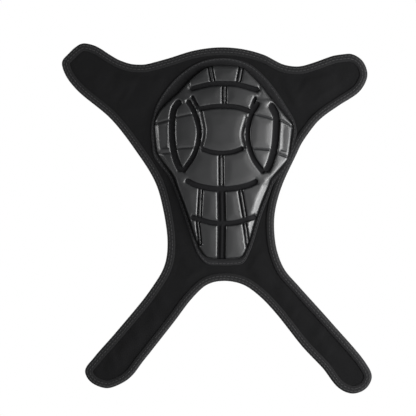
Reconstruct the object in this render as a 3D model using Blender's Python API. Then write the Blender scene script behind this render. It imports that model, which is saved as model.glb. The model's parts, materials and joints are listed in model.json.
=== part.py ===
"""A wrap-round joint guard: a padded X-shaped sleeve with a moulded shield in the middle.

It lies on its back with the shield facing +Z. The origin is the middle of the underside.
Four arms wrap round the limb, each in two segments, and the sleeve bends below the cheek plates.
Lengths are in millimetres and become metres where a mesh is made.
"""
import math

import bpy
import bmesh
from mathutils import Matrix, Vector

MM = 0.001

# ---- Driving dimensions ----
SLEEVE_WIDTH = 244.2          # across the arm tips
SLEEVE_LENGTH = 276.0         # from the upper arm tips to the lower strap tips
GAP = 0.3                     # between pieces that lie on each other

TAPE_THICKNESS = 0.6          # edge binding
TAPE_WIDTH = 6.0              # how far the binding reaches in over each face
LINING_THICKNESS = 0.6
FOAM_THICKNESS = 2.2
COVER_THICKNESS = 0.6
RING_THICKNESS = 0.6

SHIELD_WIDTH = 109.4
SHIELD_LENGTH = 151.4
SHIELD_MIDDLE = 4.9           # the shield's centre line, to the right of the sleeve's middle
SHIELD_CROWN = 13.6           # height of the shield's crown above the underside
CROWN_AT = 0.58               # how far up the shield its crown is, as a share of its length
CROTCH_TO_CROWN = 105.3       # from the edge between the straps up to the shield's crown
DOME_ACROSS, DOME_ALONG = 0.625, 0.7    # half the dome's width and length, as shares of the shield's
DOME_Z = 0.5                  # the dome's foot above the underside
SHIELD_WALL = 1.7             # under the grooves
GROOVE_DEPTH = 2.2
FLANGE_WIDTH = 2.4            # sewn under the cover, all round the shield
FLANGE_THICKNESS = 0.8
RING_SIDE = 3.2               # the facing round the window, beside the shield
RING_TOP = 6.6
RING_BOTTOM = 5.4
WINDOW_CLEARANCE = 0.4

HOOK_MARGIN = 1.2             # between a hook patch and the binding

# Hinge lines, as distances from the shield's centre line
UPPER_ARM_HINGE = 67.0
UPPER_TIP_HINGE = 96.0
LOWER_STRAP_HINGE = 55.0
LOWER_END_HINGE = 84.0
STRAP_TOP = 31.0              # no strap reaches higher than this above the edge between them
ARM_FOOT = 8.0                # no upper arm reaches lower than this far above the bend
ARM_BEND = 75.0               # degrees, either way
SLEEVE_BEND = 35.0            # degrees, away from the shield
HINGE_SLIT = 0.3              # half the slit on a hinge line

OUTLINE_STEP = 6.0
CORNER_ROUNDS = 2
CORNER_CUT = 0.2
STRAP_SLOPE = 1.21            # fall over run of the lower straps, going out
ARM_SLOPE = 0.7               # rise over run of the upper arms
ARM_MIDDLE = 139.0            # the middle of an upper arm at its hinge, above the edge between the straps
FORK_HALF_WIDTH = 22.0        # where the lines up the middle of the straps end,
FORK_RISE = 12.0              # above the edge between them

# ---- The sleeve's pattern, as drawn: x to the right, y up, clockwise from the top ----
PATTERN = [
    (2, 273), (21, 271.5), (38.5, 266.5), (51, 260), (64, 258), (79, 262), (92, 266.5), (105, 268),
    (114.5, 262.5), (118.5, 251), (112.5, 238.5), (98, 228.5), (82, 217), (70, 203), (61, 185.5),
    (51, 163.5), (46, 145.5), (45, 132), (47, 114), (53, 98.5), (63.5, 86), (90, 56.5), (117.5, 24),
    (122, 13.5), (117, 4), (106.5, 0.3), (95.5, 5), (84, 19.5), (67.5, 37), (46, 64), (33, 77.5),
    (20, 86.3), (5, 89), (-7.5, 86.2), (-19, 76), (-34, 56.5), (-58, 26), (-69, 12.5), (-85.5, 4.6),
    (-99.5, 9.5), (-104, 18.5), (-98, 27.5), (-78, 50.5), (-52.5, 82), (-41.5, 101), (-39, 119),
    (-43, 148), (-49, 167.5), (-65, 193), (-84, 217), (-110, 239), (-119.5, 251.5), (-122, 262),
    (-116.5, 268.5), (-106.5, 276), (-94, 273.3), (-78, 263.5), (-62, 259.2), (-42, 263.3), (-18, 270.5),
]
CROTCH = 32                   # the pattern's point between the straps

# The shield's pattern, on its own centre line, y up from its lower end
SHIELD = [
    (-9.1, 151.4), (12.2, 151.1), (16.5, 149.7), (28.8, 137.8), (34, 130.7), (43.8, 118.7),
    (54.7, 105.6), (54.7, 103.5), (51.4, 80.6), (50.4, 77.4), (37.1, 62.6), (36.2, 58.5),
    (30.7, 45.8), (25.3, 30.5), (21.4, 16.4), (17.6, 6.6), (14.4, 0.6), (-0.8, 0), (-12.8, 0.6),
    (-17.2, 5.5), (-21, 14.2), (-26.4, 31.1), (-30.2, 42.5), (-35.7, 56.6), (-38.4, 65.3),
    (-51.5, 81.7), (-52.6, 84.9), (-54.7, 104.5), (-53.7, 108.9), (-49.8, 116.5), (-42.2, 124.1),
    (-34.6, 130.7), (-26.4, 140.5), (-13.9, 150.3),
]
BEND_AT = 57.5                # the bend between the cheek plates and the rows below them

# Grooves between the raised plates: a width, and the points of the groove's middle
GROOVES = {
    "brow": (3.0, [(-26.5, 132.3), (-10.5, 136.5), (0, 137), (10.3, 136.3), (27.8, 131.9)]),
    "forehead": (2.8, [(-18.8, 117.6), (-9.5, 119.2), (0.5, 119.8), (11.3, 118.9), (21.1, 115.9)]),
    "brow_left": (1.6, [(-9.9, 150.1), (-7.7, 137.5)]),
    "brow_right": (1.6, [(14.4, 149.5), (11.7, 137.1)]),
    "forehead_middle": (1.8, [(0.8, 135.3), (0.8, 120.7)]),
    "post_left": (1.6, [(-24.5, 127.1), (-19.4, 117.7)]),
    "post_right": (1.6, [(25.6, 125.6), (21.6, 117.7)]),
    "crown_left": (1.6, [(-17.2, 114.8), (-14.8, 100), (-17.6, 86.1)]),
    "crown_right": (1.6, [(19.2, 114), (14.7, 98), (17.2, 86.1)]),
    "crown_foot": (2.6, [(-16.9, 85.9), (-9.5, 83.4), (-1, 82.5), (7.3, 83.4), (15.4, 86.3)]),
    "left_lens_out": (3.4, [(-33.7, 123.8), (-38.1, 117.7), (-40.2, 100), (-37.6, 80.2), (-33.2, 68.8)]),
    "left_lens_in": (2.4, [(-28, 124.4), (-23.1, 116.7), (-18.6, 100), (-22.3, 83.2), (-31.7, 68.3)]),
    "left_lens_upper": (1.4, [(-38.9, 110.8), (-22.3, 114.2)]),
    "left_lens_lower": (1.4, [(-38.3, 86.4), (-20.8, 87.6)]),
    "right_lens_in": (2.4, [(27.5, 122.5), (21.6, 111.8), (18.8, 96), (23.6, 79.2), (31.5, 67.9)]),
    "right_lens_out": (3.4, [(36.9, 122.9), (41.4, 117.7), (43, 100), (38.4, 76.2), (34, 68.8)]),
    "right_lens_upper": (1.4, [(23.1, 114.2), (41.9, 109.2)]),
    "right_lens_lower": (1.4, [(21.3, 86.9), (41, 85.3)]),
    "left_side_upper": (1.6, [(-53.1, 106.3), (-41.1, 109.8)]),
    "left_side_lower": (1.6, [(-52.3, 83.4), (-40.1, 83.7)]),
    "right_side_upper": (1.6, [(43.6, 109.8), (53.9, 104.4)]),
    "right_side_lower": (1.6, [(41.9, 83.2), (51.3, 79.6)]),
    "cheek_middle": (1.8, [(-1.8, 81.2), (-1.6, 56.5)]),
    "mouth": (3.4, [(-29.6, 61.6), (-21.3, 57.9), (-1.6, 54.7), (19.2, 57.7), (27.1, 60.9)]),
    "jaw_middle": (3.4, [(-1.6, 54), (-1.2, 28), (-1.6, 1)]),
    "jaw_left": (1.6, [(-17.6, 55), (-19, 31.8)]),
    "jaw_right": (1.6, [(13.2, 55), (17.2, 31.5)]),
    "jaw_across": (3.0, [(-25.5, 32.8), (-9.5, 28.5), (-1.1, 27.9), (9.3, 28.4), (25.6, 33)]),
    "chin_left": (1.6, [(-20.1, 29), (-19.4, 14)]),
    "chin_right": (1.6, [(16.7, 28), (19.4, 10.1)]),
}
GROOVE_STEP = 7.0

BLACK_CLOTH = (0.014, 0.014, 0.015)
BLACK_TAPE = (0.022, 0.022, 0.023)
GREY_FOAM = (0.05, 0.05, 0.052)
BLACK_SHELL = (0.03, 0.031, 0.033)
BLACK_HOOK = (0.01, 0.01, 0.01)


# ---- Outlines ----
def through(points, step, closed=True):
    """A smooth line through the points, with a point about every step."""
    spots = [Vector(p) for p in points]
    count = len(spots)
    if not closed:
        spots = [2 * spots[0] - spots[1]] + spots + [2 * spots[-1] - spots[-2]]
    line = []
    for i in range(count if closed else count - 1):
        if closed:
            a, b, c, d = spots[i - 1], spots[i], spots[(i + 1) % count], spots[(i + 2) % count]
        else:
            a, b, c, d = spots[i:i + 4]
        ta, tb = 0.0, math.sqrt((b - a).length)
        tc = tb + math.sqrt((c - b).length)
        td = tc + math.sqrt((d - c).length)
        pieces = max(1, round((c - b).length / step))
        for k in range(pieces):
            t = tb + (tc - tb) * k / pieces
            ab = a.lerp(b, (t - ta) / (tb - ta))
            bc = b.lerp(c, (t - tb) / (tc - tb))
            cd = c.lerp(d, (t - tc) / (td - tc))
            line.append(ab.lerp(bc, (t - ta) / (tc - ta)).lerp(bc.lerp(cd, (t - tb) / (td - tb)),
                                                              (t - tb) / (tc - tb)))
    if not closed:
        line.append(spots[-2])
    return line


def round_corners(loop, rounds):
    """The loop with each corner cut back by CORNER_CUT of its sides, so many times."""
    for _ in range(rounds):
        loop = [p.lerp(q, t) for p, q in zip(loop, loop[1:] + loop[:1])
                for t in (CORNER_CUT, 1 - CORNER_CUT)]
    return loop


def outward(loop):
    """The unit normal at each point of a clockwise loop, away from its inside."""
    found = []
    for before, after in zip([loop[-1]] + loop[:-1], loop[1:] + loop[:1]):
        along = after - before
        found.append(Vector((-along.y, along.x)).normalized())
    return found


def grown(loop, distance):
    """The loop moved out by a distance, or by distance(normal)."""
    return [p + n * (distance(n) if callable(distance) else distance) for p, n in zip(loop, outward(loop))]


def box_of(loop):
    xs, ys = [p.x for p in loop], [p.y for p in loop]
    return min(xs), max(xs), min(ys), max(ys)


def sleeve_outline():
    """The sleeve's outline, the height of the edge between its straps, and its scale across and along."""
    drawn = through(PATTERN, OUTLINE_STEP)
    x0, x1, y0, y1 = box_of(drawn)
    wide, long = SLEEVE_WIDTH / (x1 - x0), SLEEVE_LENGTH / (y1 - y0)

    def set_out(p):
        return Vector(((p[0] - (x0 + x1) / 2) * wide, (p[1] - (y0 + y1) / 2) * long))

    return [set_out(p) for p in drawn], set_out(PATTERN[CROTCH]).y, wide, long


SLEEVE, CROTCH_Y, WIDE, LONG = sleeve_outline()
CROWN_Y = CROTCH_Y + CROTCH_TO_CROWN * LONG
SHIELD_FOOT = CROWN_Y - CROWN_AT * SHIELD_LENGTH


def on_shield(point):
    """Where a point of the shield's pattern lies on the sleeve."""
    xs, ys = [p[0] for p in SHIELD], [p[1] for p in SHIELD]
    return Vector((SHIELD_MIDDLE + point[0] * SHIELD_WIDTH / (max(xs) - min(xs)),
                   SHIELD_FOOT + (point[1] - min(ys)) * SHIELD_LENGTH / (max(ys) - min(ys))))


SHIELD_EDGE = round_corners([on_shield(p) for p in SHIELD], CORNER_ROUNDS)
BEND_Y = on_shield((0, BEND_AT)).y
SHOULDER_Y = CROTCH_Y + ARM_MIDDLE * LONG
FORK_Y = CROTCH_Y + FORK_RISE * LONG
SHIELD_CENTRE = Vector((SHIELD_MIDDLE, CROWN_Y))

# ---- Heights of the layers, from the underside up ----
LINING_Z = TAPE_THICKNESS + GAP
FOAM_Z = LINING_Z + LINING_THICKNESS + GAP
FOAM_TOP = FOAM_Z + FOAM_THICKNESS
FLANGE_Z = FOAM_TOP - FLANGE_THICKNESS
COVER_Z = FOAM_TOP + GAP
COVER_TOP = COVER_Z + COVER_THICKNESS
TAPE_Z = COVER_TOP + GAP
TOP_Z = TAPE_Z + TAPE_THICKNESS
AXIS_Z = TOP_Z / 2
DOME_X, DOME_Y = DOME_ACROSS * SHIELD_WIDTH, DOME_ALONG * SHIELD_LENGTH
DOME_SEGMENTS = 48
DOME_TURN = math.radians(3)   # keeps the dome's seams off the grooves' edges
LAYER_INSET = TAPE_THICKNESS + GAP
REACH = 400.0                 # a length beyond the object, for cutters
CUT_OVERRUN = 5.0             # how far a cutter goes past the object's underside and crown
CUT_LOW, CUT_HIGH = -CUT_OVERRUN, SHIELD_CROWN + CUT_OVERRUN


# ---- Making solids ----
def collection(name):
    made = bpy.data.collections.new(name)
    bpy.context.scene.collection.children.link(made)
    return made


def material(name, colour, roughness, metallic=0.0):
    made = bpy.data.materials.new(name)
    made.use_nodes = True
    shader = made.node_tree.nodes["Principled BSDF"]
    shader.inputs["Base Color"].default_value = (*colour, 1)
    shader.inputs["Roughness"].default_value = roughness
    shader.inputs["Metallic"].default_value = metallic
    made.diffuse_color = (*colour, 1)
    return made


def mesh_of(source):
    """A closed mesh of an object as its modifiers leave it. The object is removed."""
    bpy.context.view_layer.update()
    mesh = bpy.data.meshes.new_from_object(source.evaluated_get(bpy.context.evaluated_depsgraph_get()))
    mesh.transform(source.matrix_world)
    bm = bmesh.new()
    bm.from_mesh(mesh)
    bmesh.ops.remove_doubles(bm, verts=bm.verts, dist=0.00001)
    bmesh.ops.recalc_face_normals(bm, faces=bm.faces)
    bm.to_mesh(mesh)
    bm.free()
    bpy.data.objects.remove(source)
    return mesh


def line_curve(name, *loops):
    """A flat curve object of closed loops."""
    curve = bpy.data.curves.new(name, "CURVE")
    curve.dimensions = "2D"
    curve.fill_mode = "NONE"
    for loop in loops:
        spline = curve.splines.new("POLY")
        spline.points.add(len(loop) - 1)
        for spot, p in zip(spline.points, loop):
            spot.co = (p[0] * MM, p[1] * MM, 0, 1)
        spline.use_cyclic_u = True
    made = bpy.data.objects.new(name, curve)
    bpy.context.scene.collection.objects.link(made)
    return made


def plate(name, loops, low, high):
    """A flat plate between two heights. The first loop is its outline and the others are holes in it."""
    source = line_curve(name, *loops)
    source.data.fill_mode = "BOTH"
    source.data.extrude = (high - low) / 2 * MM
    source.location.z = (low + high) / 2 * MM
    return mesh_of(source)


def cutter(name, mesh):
    tool = bpy.data.objects.new(name, mesh)
    CUTTERS.objects.link(tool)
    tool.hide_render = True
    tool.display_type = "WIRE"
    return tool


def across(name, profile, y_low, y_high):
    """A cutter with a profile in x and z, from y_low to y_high."""
    mesh = plate(name, [profile], y_low, y_high)
    mesh.transform(Matrix(((1, 0, 0, 0), (0, 0, 1, 0), (0, 1, 0, 0), (0, 0, 0, 1))))
    mesh.flip_normals()
    return cutter(name, mesh)


def along(name, profile, x_low, x_high):
    """A cutter with a profile in y and z, from x_low to x_high."""
    mesh = plate(name, [profile], x_low, x_high)
    mesh.transform(Matrix(((0, 0, 1, 0), (1, 0, 0, 0), (0, 1, 0, 0), (0, 0, 0, 1))))
    return cutter(name, mesh)


def keep(thing, tool, operation="INTERSECT"):
    step = thing.modifiers.new(tool.name, "BOOLEAN")
    step.operation = operation
    step.solver = "MANIFOLD"
    step.object = tool
    return thing


def cut(mesh, tools, operation="DIFFERENCE"):
    """The mesh after the tools have been applied to it, and they are gone."""
    work = bpy.data.objects.new("work", mesh)
    bpy.context.scene.collection.objects.link(work)
    for tool in tools:
        keep(work, tool, operation)
    made = mesh_of(work)
    for tool in tools:
        bpy.data.objects.remove(tool)
    return made


def node(name, mesh, finish, body, *tools):
    """One sub-part. Each tool is a cutter, or a cutter and the Boolean's operation."""
    part = bpy.data.objects.new(name, mesh.copy())
    PARTS.objects.link(part)
    part.data.materials.clear()
    part.data.materials.append(FINISHES[finish].copy())
    part.parent = AXES[body]
    part.matrix_parent_inverse = AXES[body].matrix_world.inverted()
    for tool in tools:
        if isinstance(tool, tuple):
            keep(part, *tool)
        else:
            keep(part, tool)
    return part


# ---- Hinges ----
def slit_edge(at, side, least, most):
    """The three corners of one side of a hinge's slit, from low to high: it opens away from the axis
    as far as the two bodies lean into it at the ends of their range, in degrees."""
    below = HINGE_SLIT + (AXIS_Z - CUT_LOW) * math.tan(math.radians(most) / 2)
    above = HINGE_SLIT + (CUT_HIGH - AXIS_Z) * math.tan(math.radians(-least) / 2)
    return [(at + side * below, CUT_LOW), (at + side * HINGE_SLIT, AXIS_Z), (at + side * above, CUT_HIGH)]


def segment(name, inner, outer, side, y_low, y_high):
    """A cutter for what lies beyond the hinge at inner, as far as the hinge at outer if there is one."""
    near = slit_edge(inner, side, -ARM_BEND, ARM_BEND)
    if outer is None:
        far = [(side * REACH, CUT_LOW), (side * REACH, CUT_HIGH)]
    else:
        far = slit_edge(outer, -side, -ARM_BEND, ARM_BEND)
    return across(name, near[::-1] + far, y_low, y_high)


def root_of_arm(name, at, side, y_low, y_high):
    """A cutter for all that isn't the body's own beyond the arm's hinge."""
    edge = slit_edge(at, -side, -ARM_BEND, ARM_BEND)
    return across(name, edge[::-1] + [(side * REACH, CUT_LOW), (side * REACH, CUT_HIGH)], y_low, y_high)


def half(name, side):
    """A cutter for the sleeve above its bend, side 1, or below it, side -1."""
    edge = slit_edge(BEND_Y, side, 0, SLEEVE_BEND)
    return along(name, edge[::-1] + [(side * REACH, CUT_LOW), (side * REACH, CUT_HIGH)], -REACH, REACH)


def flat_area(name, corners):
    return cutter(name, plate(name, [corners], CUT_LOW, CUT_HIGH))


def beside_line(name, spot, slope, side):
    """A cutter for what lies above a line, side 1, or below it, side -1."""
    way = Vector((1, slope)).normalized() * REACH
    away = Vector((-way.y, way.x)) * side
    spot = Vector(spot)
    return flat_area(name, [spot - way, spot + way, spot + way + away, spot - way + away])


def axis(name, parent, x, y):
    """An empty on a joint's axis."""
    empty = bpy.data.objects.new("axis_" + name, None)
    PARTS.objects.link(empty)
    empty.location = (x * MM, y * MM, AXIS_Z * MM)
    bpy.context.view_layer.update()
    if parent:
        empty.parent = AXES[parent]
        empty.matrix_parent_inverse = AXES[parent].matrix_world.inverted()
        bpy.context.view_layer.update()
    return empty


ARMS = {
    # arm: side, its body, the two segments, hinge distances, the rows of y that it lies in
    "upper_left": (-1, "core", "arm", "tip", UPPER_ARM_HINGE, UPPER_TIP_HINGE),
    "upper_right": (1, "core", "arm", "tip", UPPER_ARM_HINGE, UPPER_TIP_HINGE),
    "lower_left": (-1, "lower_core", "strap", "end", LOWER_STRAP_HINGE, LOWER_END_HINGE),
    "lower_right": (1, "lower_core", "strap", "end", LOWER_STRAP_HINGE, LOWER_END_HINGE),
}


def rows(arm):
    if arm.startswith("upper"):
        return BEND_Y + ARM_FOOT, REACH
    return -REACH, CROTCH_Y + STRAP_TOP * LONG


# ---- The scene ----
for old in list(bpy.data.objects):
    bpy.data.objects.remove(old)
PARTS = collection("joint_guard")
CUTTERS = collection("cutters")
FINISHES = {
    "cover": material("loop_cloth", BLACK_CLOTH, 0.95),
    "tape": material("binding_tape", BLACK_TAPE, 0.8),
    "lining": material("lining_cloth", BLACK_CLOTH, 0.9),
    "foam": material("foam_rubber", GREY_FOAM, 0.9),
    "shell": material("moulded_shell", BLACK_SHELL, 0.35),
    "pad": material("shield_foam", GREY_FOAM, 0.9),
    "hook": material("hook_tape", BLACK_HOOK, 0.7),
}

AXES = {"core": None}
AXES["core"] = axis("core", None, 0, 0)
AXES["lower_core"] = axis("lower_core", "core", SHIELD_MIDDLE, BEND_Y)
CUT = {"core": half("above_bend", 1), "lower_core": half("below_bend", -1)}
AWAY = {"core": [], "lower_core": []}
for arm, (side, parent, first, second, near, far) in ARMS.items():
    y_low, y_high = rows(arm)
    hinge_x, tip_x = SHIELD_MIDDLE + side * near, SHIELD_MIDDLE + side * far
    AXES[f"{arm}_{first}"] = axis(f"{arm}_{first}", parent, hinge_x, 0)
    AXES[f"{arm}_{second}"] = axis(f"{arm}_{second}", f"{arm}_{first}", tip_x, 0)
    CUT[f"{arm}_{first}"] = segment(f"{arm}_{first}_area", hinge_x, tip_x, side, y_low, y_high)
    CUT[f"{arm}_{second}"] = segment(f"{arm}_{second}_area", tip_x, None, side, y_low, y_high)
    AWAY[parent].append((root_of_arm(f"{arm}_root", hinge_x, side, y_low, y_high), "DIFFERENCE"))


# ---- Sleeve layers, each cut into its bodies' pieces ----
def ring_offset(normal):
    """How far the window's facing reaches out from the shield in a direction."""
    up, down = max(normal.y, 0) ** 2, max(-normal.y, 0) ** 2
    return RING_SIDE + (RING_TOP - RING_SIDE) * up + (RING_BOTTOM - RING_SIDE) * down


LAYER_EDGE = grown(SLEEVE, -LAYER_INSET)
WINDOW = grown(SHIELD_EDGE, WINDOW_CLEARANCE)
RING_EDGE = grown(SHIELD_EDGE, ring_offset)
FLANGE_EDGE = grown(SHIELD_EDGE, FLANGE_WIDTH)
POCKET = grown(FLANGE_EDGE, GAP)

lining = plate("lining", [LAYER_EDGE], LINING_Z, LINING_Z + LINING_THICKNESS)
foam = plate("foam", [LAYER_EDGE], FOAM_Z, FOAM_TOP)
foam = cut(foam, [cutter("flange_pocket", plate("pocket", [POCKET], FLANGE_Z - GAP, CUT_HIGH))])
cover = plate("cover", [LAYER_EDGE, WINDOW], COVER_Z, COVER_TOP)
for body in CUT:
    tools = [CUT[body]] + AWAY.get(body, [])
    node(f"{body}_lining", lining, "lining", body, *tools)
    node(f"{body}_foam", foam, "foam", body, *tools)
    node(f"{body}_cover", cover, "cover", body, *tools)
for body, name in (("core", "window_facing_upper"), ("lower_core", "window_facing_lower")):
    facing = plate("window_facing", [RING_EDGE, WINDOW], TAPE_Z, TAPE_Z + RING_THICKNESS)
    node(name, facing, "tape", body, CUT[body])


# ---- Binding: a folded tape round the whole edge ----
def binding():
    """The tape, folded over the edge. Its upper side is trimmed where the window's facing comes close."""
    w, h, s = TAPE_WIDTH, TOP_Z, TAPE_THICKNESS
    section = [(0, 0), (w, 0), (w, s), (s, s), (s, h - s), (w, h - s), (w, h), (0, h)]
    fold, edge = line_curve("binding_section", section), line_curve("binding_edge", SLEEVE)
    edge.data.bevel_mode = "OBJECT"
    edge.data.bevel_object = fold
    strip = mesh_of(edge)
    bpy.data.objects.remove(fold)
    trim = plate("binding_trim", [grown(RING_EDGE, GAP)], TAPE_Z - GAP, CUT_HIGH)
    return cut(strip, [cutter("binding_trim", trim)])


def middle_of(arm, side):
    """A spot and the slope of the line up the middle of an arm."""
    if arm.startswith("upper"):
        return (SHIELD_MIDDLE + side * UPPER_ARM_HINGE, SHOULDER_Y), side * ARM_SLOPE * LONG / WIDE
    return (SHIELD_MIDDLE + side * FORK_HALF_WIDTH * WIDE, FORK_Y), -side * STRAP_SLOPE * LONG / WIDE


tape = binding()
for arm, (side, parent, first, second, near, far) in ARMS.items():
    inner, outer = f"{arm}_{first}", f"{arm}_{second}"
    node(f"{outer}_binding", tape, "tape", outer, CUT[outer])
    for place, above in (("top", 1), ("bottom", -1)):
        edge = beside_line(f"{inner}_{place}_area", *middle_of(arm, side), above)
        node(f"{inner}_{place}_binding", tape, "tape", inner, CUT[inner], edge)
areas = {
    "top_edge_binding": ("core", [(-REACH, SHOULDER_Y), (-REACH, REACH), (REACH, REACH), (REACH, SHOULDER_Y)]),
    "left_side_binding": ("core", [
        (-REACH, -REACH), (-REACH, SHOULDER_Y), (SHIELD_MIDDLE, SHOULDER_Y), (SHIELD_MIDDLE, -REACH)]),
    "right_side_binding": ("core", [
        (SHIELD_MIDDLE, -REACH), (SHIELD_MIDDLE, SHOULDER_Y), (REACH, SHOULDER_Y), (REACH, -REACH)]),
}
# The two edges of a strap are parted by a line up its middle, and the two sides by the centre line.
fork = (SHIELD_MIDDLE - FORK_HALF_WIDTH * WIDE, FORK_Y)
split = [(fork[0] - REACH, fork[1] - STRAP_SLOPE * LONG / WIDE * REACH), fork]
mirrored = [(2 * SHIELD_MIDDLE - x, y) for x, y in split[::-1]]
areas["crotch_binding"] = ("lower_core", split + mirrored)
fork_top, middle_top = (SHIELD_MIDDLE, FORK_Y), (SHIELD_MIDDLE, REACH)
areas["left_waist_binding"] = ("lower_core", [split[0], (-REACH, REACH), middle_top, fork_top, split[1]])
areas["right_waist_binding"] = ("lower_core", [mirrored[1], mirrored[0], fork_top, middle_top, (REACH, REACH)])
for name, (body, corners) in areas.items():
    node(name, tape, "tape", body, CUT[body], *AWAY[body], flat_area(name + "_area", corners))


# ---- Hook patches, under the lining of the two left-hand ends ----
hook = plate("hook", [grown(SLEEVE, -TAPE_WIDTH - HOOK_MARGIN)], 0, TAPE_THICKNESS)
node("upper_hook_patch", hook, "hook", "upper_left_tip", CUT["upper_left_tip"])
node("lower_hook_patch", hook, "hook", "lower_left_end", CUT["lower_left_end"])


# ---- Shield ----
def dome(name, crown):
    """A low ellipsoid over the shield, whose top is at a height."""
    bpy.ops.mesh.primitive_uv_sphere_add(segments=DOME_SEGMENTS, ring_count=DOME_SEGMENTS, radius=1)
    ball = bpy.context.object
    ball.data.transform(Matrix.Rotation(DOME_TURN, 4, "Z"))
    ball.scale = Vector((DOME_X, DOME_Y, crown - DOME_Z)) * MM
    ball.location = Vector((SHIELD_CENTRE.x, SHIELD_CENTRE.y, DOME_Z)) * MM
    return cutter(name, mesh_of(ball))


def band(points, width):
    """A strip of a width along a line of points, as a loop."""
    line = through(points, GROOVE_STEP, closed=False) if len(points) > 2 else list(points)
    left, right = [], []
    for i, p in enumerate(line):
        way = (line[min(i + 1, len(line) - 1)] - line[max(i - 1, 0)]).normalized()
        normal = Vector((-way.y, way.x)) * width / 2
        left.append(p + normal)
        right.append(p - normal)
    return left + right[::-1]


def shield_shell():
    block = plate("shell", [SHIELD_EDGE], FLANGE_Z, CUT_HIGH)
    shell = cut(block, [dome("crown", SHIELD_CROWN)], "INTERSECT")
    for name, (width, points) in GROOVES.items():
        strip = plate(name, [band([on_shield(p) for p in points], width)], FLANGE_Z, CUT_HIGH)
        groove = cut(strip, [dome("groove_floor", SHIELD_CROWN - GROOVE_DEPTH)])
        shell = cut(shell, [cutter(name, groove)])
    flange = plate("flange", [FLANGE_EDGE], FLANGE_Z, FLANGE_Z + FLANGE_THICKNESS)
    shell = cut(shell, [cutter("flange", flange)], "UNION")
    return cut(shell, [cutter("hollow", under_shell(-SHIELD_WALL, 0, CUT_LOW))])


def under_shell(inset, clearance, low):
    """The room under the shell's wall, or what fills it with a clearance."""
    crown = SHIELD_CROWN - GROOVE_DEPTH - SHIELD_WALL - clearance
    block = plate("under_shell", [grown(SHIELD_EDGE, inset - clearance)], low, CUT_HIGH)
    return cut(block, [dome("under_crown", crown)], "INTERSECT")


shell = shield_shell()
pad = under_shell(-SHIELD_WALL, GAP, FLANGE_Z)
for body, place in (("core", "upper"), ("lower_core", "lower")):
    node(f"shield_{place}", shell, "shell", body, CUT[body])
    node(f"shield_foam_{place}", pad, "pad", body, CUT[body])
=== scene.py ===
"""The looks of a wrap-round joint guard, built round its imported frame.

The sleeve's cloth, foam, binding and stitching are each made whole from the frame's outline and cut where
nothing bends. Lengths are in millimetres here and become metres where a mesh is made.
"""
import json
import math

import bpy
import bmesh
import numpy as np
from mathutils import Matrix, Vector, geometry


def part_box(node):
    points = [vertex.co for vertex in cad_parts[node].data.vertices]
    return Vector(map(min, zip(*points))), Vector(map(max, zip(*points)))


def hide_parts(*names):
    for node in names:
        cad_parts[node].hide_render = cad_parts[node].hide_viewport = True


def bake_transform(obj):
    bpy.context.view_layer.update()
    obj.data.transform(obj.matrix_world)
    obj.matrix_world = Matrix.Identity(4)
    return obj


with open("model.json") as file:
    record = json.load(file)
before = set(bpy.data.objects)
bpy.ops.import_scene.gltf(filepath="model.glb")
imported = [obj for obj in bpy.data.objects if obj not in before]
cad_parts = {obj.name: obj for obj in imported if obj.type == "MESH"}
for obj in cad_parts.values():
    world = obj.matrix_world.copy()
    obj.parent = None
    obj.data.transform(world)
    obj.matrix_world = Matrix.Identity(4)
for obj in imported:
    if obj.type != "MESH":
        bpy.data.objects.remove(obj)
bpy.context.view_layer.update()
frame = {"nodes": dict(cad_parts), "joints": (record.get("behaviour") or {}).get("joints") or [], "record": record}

MM = 0.001

# ---- Sizes read from the frame ----
NODES = frame["nodes"]
JOINTS = {j["name"]: j for j in frame["joints"]}


def level(node, top=False):
    """A node's lowest or highest height."""
    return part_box(node)[1 if top else 0].z / MM


COVER_Z, COVER_TOP = level("core_cover"), level("core_cover", True)
LINING_TOP = level("core_lining", True)
TAPE_TOP = level("top_edge_binding", True)
PATCH_TOP = level("upper_hook_patch", True)
SHELL_TOP = level("shield_upper", True)
BEND_Y = JOINTS["sleeve_bend"]["pos_m"][1] / MM
MIDDLE_X = JOINTS["sleeve_bend"]["pos_m"][0] / MM

TAPE_REACH = 6.2              # how far the binding reaches in over each face
LAYER_INSET = 1.0             # the cloths and the foam end inside the fold of the binding
WINDOW_CLEARANCE = 0.4        # between the shield and the edge of its window
FLANGE_WIDTH = 2.2            # sewn under the cover, all round the shield
FOLD = 8.0                    # each side of a hinge line, the length of cloth that bends
EDGE_STEP, WINDOW_STEP = 3.0, 2.4       # between points on the cloths' edges

ARMS = {
    # arm: its side, the body it starts from, and its two segments' bodies
    "upper_left": (-1, "core", "upper_left_arm", "upper_left_tip"),
    "upper_right": (1, "core", "upper_right_arm", "upper_right_tip"),
    "lower_left": (-1, "lower_core", "lower_left_strap", "lower_left_end"),
    "lower_right": (1, "lower_core", "lower_right_strap", "lower_right_end"),
}


def hinge_x(body):
    return JOINTS[body + "_bend"]["pos_m"][0] / MM


# ---- Lines in the plan ----
UPRIGHT = 0.05                # the most that an upright wall's normal points up
SAME_LEVEL = 0.02
CURVE_STEP = 0.4              # between the points of a curve before they are evened out


def wall_lines(node):
    """The plan of a node's upright walls that run its whole height, as pairs of points."""
    mesh = NODES[node].data
    mesh.calc_loop_triangles()
    spots = np.array([v.co for v in mesh.vertices]) / MM
    low, high = spots[:, 2].min(), spots[:, 2].max()
    found = []
    for triangle in mesh.loop_triangles:
        corners = spots[list(triangle.vertices)]
        whole = corners[:, 2].min() < low + SAME_LEVEL and corners[:, 2].max() > high - SAME_LEVEL
        plan = tuple(sorted({tuple(np.round(c[:2], 2)) for c in corners}))
        if whole and abs(triangle.normal.z) < UPRIGHT and len(plan) == 2:
            found.append(plan)
    return found


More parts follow.
